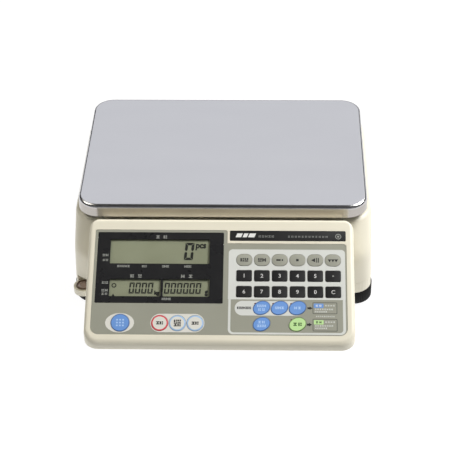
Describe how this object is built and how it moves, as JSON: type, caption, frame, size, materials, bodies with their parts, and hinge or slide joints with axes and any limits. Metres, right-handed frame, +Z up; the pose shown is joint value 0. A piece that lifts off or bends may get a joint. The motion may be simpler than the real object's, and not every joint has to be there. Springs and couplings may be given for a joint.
{
  "type": "counting scale",
  "caption": "Counting scale: flat steel pan on a cream moulded body, with a sloping console that carries three liquid-crystal displays and a membrane keypad.",
  "frame": {"origin": "on the table, under the middle of the whole scale's box", "axes": "+Z up, +X to the user's right, -Y towards the user"},
  "size_m": [0.316, 0.355, 0.121],
  "materials": {
    "cream_plastic": "satin moulded ABS with a fine grain",
    "grey_membrane": "fine matt printed film",
    "light_film": "matt film",
    "black_gloss": "smooth printed window",
    "lcd_glass": "smooth grey-green liquid crystal",
    "green_board": "solder mask",
    "stainless_sheet": "fine satin stainless steel",
    "cast_aluminium": "cast and machined",
    "black_rubber": "matt rubber",
    "zinc_fasteners": "zinc plated",
    "vial_liquid": "clear vial with tinted liquid",
    "black_plastic": "fine grain moulded plastic",
    "black_keys": "satin printed film",
    "grey_keys": "satin printed film",
    "blue_keys": "satin printed film",
    "green_key": "satin printed film",
    "ring_keys": "satin printed film with a coloured ring"
  },
  "bodies": {
    "root": {"base_tray": "cream_plastic", "upper_housing": "cream_plastic", "console_housing": "cream_plastic", "console_cover": "cream_plastic", "keypad_overlay": "grey_membrane", "nameplate": "black_gloss", "display_window": "black_gloss", "lcd_count": "lcd_glass", "lcd_weight": "lcd_glass", "lcd_unit_weight": "lcd_glass", "main_board": "green_board", "dome_sheet": "light_film", "load_cell": "cast_aluminium", "cell_base_bolts": "zinc_fasteners", "overload_stop": "zinc_fasteners", "level_vial": "vial_liquid", "level_ring": "cream_plastic", "dc_jack": "black_plastic", "battery": "black_plastic", "housing_screws": "zinc_fasteners"},
    "platform": {"pan_frame": "cast_aluminium", "pan_seats": "black_rubber", "cell_top_block": "cast_aluminium", "cell_top_bolts": "zinc_fasteners"},
    "pan": {"weighing_pan": "stainless_sheet"},
    "foot_front_left_pad": {"foot_pad_front_left": "black_rubber"},
    "foot_front_left_knob": {"foot_knob_front_left": "black_plastic"},
    "foot_front_right_pad": {"foot_pad_front_right": "black_rubber"},
    "foot_front_right_knob": {"foot_knob_front_right": "black_plastic"},
    "foot_back_left_pad": {"foot_pad_back_left": "black_rubber"},
    "foot_back_left_knob": {"foot_knob_back_left": "black_plastic"},
    "foot_back_right_pad": {"foot_pad_back_right": "black_rubber"},
    "foot_back_right_knob": {"foot_knob_back_right": "black_plastic"},
    "key_power": {"key_power": "blue_keys"},
    "key_ring_left": {"key_ring_left": "ring_keys"},
    "key_ring_middle": {"key_ring_middle": "ring_keys"},
    "key_ring_right": {"key_ring_right": "ring_keys"},
    "key_oval_1": {"key_oval_1": "grey_keys"},
    "key_oval_2": {"key_oval_2": "grey_keys"},
    "key_oval_3": {"key_oval_3": "grey_keys"},
    "key_oval_4": {"key_oval_4": "grey_keys"},
    "key_oval_5": {"key_oval_5": "grey_keys"},
    "key_oval_6": {"key_oval_6": "grey_keys"},
    "key_1": {"key_1": "black_keys"},
    "key_2": {"key_2": "black_keys"},
    "key_3": {"key_3": "black_keys"},
    "key_4": {"key_4": "black_keys"},
    "key_5": {"key_5": "black_keys"},
    "key_point": {"key_point": "black_keys"},
    "key_6": {"key_6": "black_keys"},
    "key_7": {"key_7": "black_keys"},
    "key_8": {"key_8": "black_keys"},
    "key_9": {"key_9": "black_keys"},
    "key_0": {"key_0": "black_keys"},
    "key_c": {"key_c": "black_keys"},
    "key_blue_1": {"key_blue_1": "blue_keys"},
    "key_blue_2": {"key_blue_2": "blue_keys"},
    "key_blue_3": {"key_blue_3": "blue_keys"},
    "key_blue_4": {"key_blue_4": "blue_keys"},
    "key_green": {"key_green": "green_key"}
  },
  "joints": [
    {"name": "platform_give", "type": "slide", "parent": "root", "child": "platform", "axis": [0, 0, -1], "range_m": [0, 0.0006], "stiffness_N_per_m": 400000, "deforming": ["load_cell"]},
    {"name": "pan_lift", "type": "slide", "parent": "platform", "child": "pan", "axis": [0, 0, 1], "range_m": [0, 0.03]},
    {"name": "foot_front_left_travel", "type": "slide", "parent": "root", "child": "foot_front_left_pad", "axis": [0, 0, -1], "range_m": [0, 0.005]},
    {"name": "foot_front_left_turn", "type": "hinge", "parent": "foot_front_left_pad", "child": "foot_front_left_knob", "pos_m": [-0.138, -0.032, 0.009], "axis": [0, 0, -1], "range_deg": [0, 1440]},
    {"name": "foot_front_right_travel", "type": "slide", "parent": "root", "child": "foot_front_right_pad", "axis": [0, 0, -1], "range_m": [0, 0.005]},
    {"name": "foot_front_right_turn", "type": "hinge", "parent": "foot_front_right_pad", "child": "foot_front_right_knob", "pos_m": [0.138, -0.032, 0.009], "axis": [0, 0, -1], "range_deg": [0, 1440]},
    {"name": "foot_back_left_travel", "type": "slide", "parent": "root", "child": "foot_back_left_pad", "axis": [0, 0, -1], "range_m": [0, 0.005]},
    {"name": "foot_back_left_turn", "type": "hinge", "parent": "foot_back_left_pad", "child": "foot_back_left_knob", "pos_m": [-0.138, 0.15, 0.009], "axis": [0, 0, -1], "range_deg": [0, 1440]},
    {"name": "foot_back_right_travel", "type": "slide", "parent": "root", "child": "foot_back_right_pad", "axis": [0, 0, -1], "range_m": [0, 0.005]},
    {"name": "foot_back_right_turn", "type": "hinge", "parent": "foot_back_right_pad", "child": "foot_back_right_knob", "pos_m": [0.138, 0.15, 0.009], "axis": [0, 0, -1], "range_deg": [0, 1440]},
    {"name": "key_power_press", "type": "slide", "parent": "root", "child": "key_power", "axis": [0, 0.4695, -0.8829], "range_m": [0, 0.0005], "stiffness_N_per_m": 2000},
    {"name": "key_ring_left_press", "type": "slide", "parent": "root", "child": "key_ring_left", "axis": [0, 0.4695, -0.8829], "range_m": [0, 0.0005], "stiffness_N_per_m": 2000},
    {"name": "key_ring_middle_press", "type": "slide", "parent": "root", "child": "key_ring_middle", "axis": [0, 0.4695, -0.8829], "range_m": [0, 0.0005], "stiffness_N_per_m": 2000},
    {"name": "key_ring_right_press", "type": "slide", "parent": "root", "child": "key_ring_right", "axis": [0, 0.4695, -0.8829], "range_m": [0, 0.0005], "stiffness_N_per_m": 2000},
    {"name": "key_oval_1_press", "type": "slide", "parent": "root", "child": "key_oval_1", "axis": [0, 0.4695, -0.8829], "range_m": [0, 0.0005], "stiffness_N_per_m": 2000},
    {"name": "key_oval_2_press", "type": "slide", "parent": "root", "child": "key_oval_2", "axis": [0, 0.4695, -0.8829], "range_m": [0, 0.0005], "stiffness_N_per_m": 2000},
    {"name": "key_oval_3_press", "type": "slide", "parent": "root", "child": "key_oval_3", "axis": [0, 0.4695, -0.8829], "range_m": [0, 0.0005], "stiffness_N_per_m": 2000},
    {"name": "key_oval_4_press", "type": "slide", "parent": "root", "child": "key_oval_4", "axis": [0, 0.4695, -0.8829], "range_m": [0, 0.0005], "stiffness_N_per_m": 2000},
    {"name": "key_oval_5_press", "type": "slide", "parent": "root", "child": "key_oval_5", "axis": [0, 0.4695, -0.8829], "range_m": [0, 0.0005], "stiffness_N_per_m": 2000},
    {"name": "key_oval_6_press", "type": "slide", "parent": "root", "child": "key_oval_6", "axis": [0, 0.4695, -0.8829], "range_m": [0, 0.0005], "stiffness_N_per_m": 2000},
    {"name": "key_1_press", "type": "slide", "parent": "root", "child": "key_1", "axis": [0, 0.4695, -0.8829], "range_m": [0, 0.0005], "stiffness_N_per_m": 2000},
    {"name": "key_2_press", "type": "slide", "parent": "root", "child": "key_2", "axis": [0, 0.4695, -0.8829], "range_m": [0, 0.0005], "stiffness_N_per_m": 2000},
    {"name": "key_3_press", "type": "slide", "parent": "root", "child": "key_3", "axis": [0, 0.4695, -0.8829], "range_m": [0, 0.0005], "stiffness_N_per_m": 2000},
    {"name": "key_4_press", "type": "slide", "parent": "root", "child": "key_4", "axis": [0, 0.4695, -0.8829], "range_m": [0, 0.0005], "stiffness_N_per_m": 2000},
    {"name": "key_5_press", "type": "slide", "parent": "root", "child": "key_5", "axis": [0, 0.4695, -0.8829], "range_m": [0, 0.0005], "stiffness_N_per_m": 2000},
    {"name": "key_point_press", "type": "slide", "parent": "root", "child": "key_point", "axis": [0, 0.4695, -0.8829], "range_m": [0, 0.0005], "stiffness_N_per_m": 2000},
    {"name": "key_6_press", "type": "slide", "parent": "root", "child": "key_6", "axis": [0, 0.4695, -0.8829], "range_m": [0, 0.0005], "stiffness_N_per_m": 2000},
    {"name": "key_7_press", "type": "slide", "parent": "root", "child": "key_7", "axis": [0, 0.4695, -0.8829], "range_m": [0, 0.0005], "stiffness_N_per_m": 2000},
    {"name": "key_8_press", "type": "slide", "parent": "root", "child": "key_8", "axis": [0, 0.4695, -0.8829], "range_m": [0, 0.0005], "stiffness_N_per_m": 2000},
    {"name": "key_9_press", "type": "slide", "parent": "root", "child": "key_9", "axis": [0, 0.4695, -0.8829], "range_m": [0, 0.0005], "stiffness_N_per_m": 2000},
    {"name": "key_0_press", "type": "slide", "parent": "root", "child": "key_0", "axis": [0, 0.4695, -0.8829], "range_m": [0, 0.0005], "stiffness_N_per_m": 2000},
    {"name": "key_c_press", "type": "slide", "parent": "root", "child": "key_c", "axis": [0, 0.4695, -0.8829], "range_m": [0, 0.0005], "stiffness_N_per_m": 2000},
    {"name": "key_blue_1_press", "type": "slide", "parent": "root", "child": "key_blue_1", "axis": [0, 0.4695, -0.8829], "range_m": [0, 0.0005], "stiffness_N_per_m": 2000},
    {"name": "key_blue_2_press", "type": "slide", "parent": "root", "child": "key_blue_2", "axis": [0, 0.4695, -0.8829], "range_m": [0, 0.0005], "stiffness_N_per_m": 2000},
    {"name": "key_blue_3_press", "type": "slide", "parent": "root", "child": "key_blue_3", "axis": [0, 0.4695, -0.8829], "range_m": [0, 0.0005], "stiffness_N_per_m": 2000},
    {"name": "key_blue_4_press", "type": "slide", "parent": "root", "child": "key_blue_4", "axis": [0, 0.4695, -0.8829], "range_m": [0, 0.0005], "stiffness_N_per_m": 2000},
    {"name": "key_green_press", "type": "slide", "parent": "root", "child": "key_green", "axis": [0, 0.4695, -0.8829], "range_m": [0, 0.0005], "stiffness_N_per_m": 2000}
  ],
  "couplings": [
    {"joint": "foot_front_left_travel", "follows": "foot_front_left_turn", "m_per_rad": 0.0001989},
    {"joint": "foot_front_right_travel", "follows": "foot_front_right_turn", "m_per_rad": 0.0001989},
    {"joint": "foot_back_left_travel", "follows": "foot_back_left_turn", "m_per_rad": 0.0001989},
    {"joint": "foot_back_right_travel", "follows": "foot_back_right_turn", "m_per_rad": 0.0001989}
  ]
}
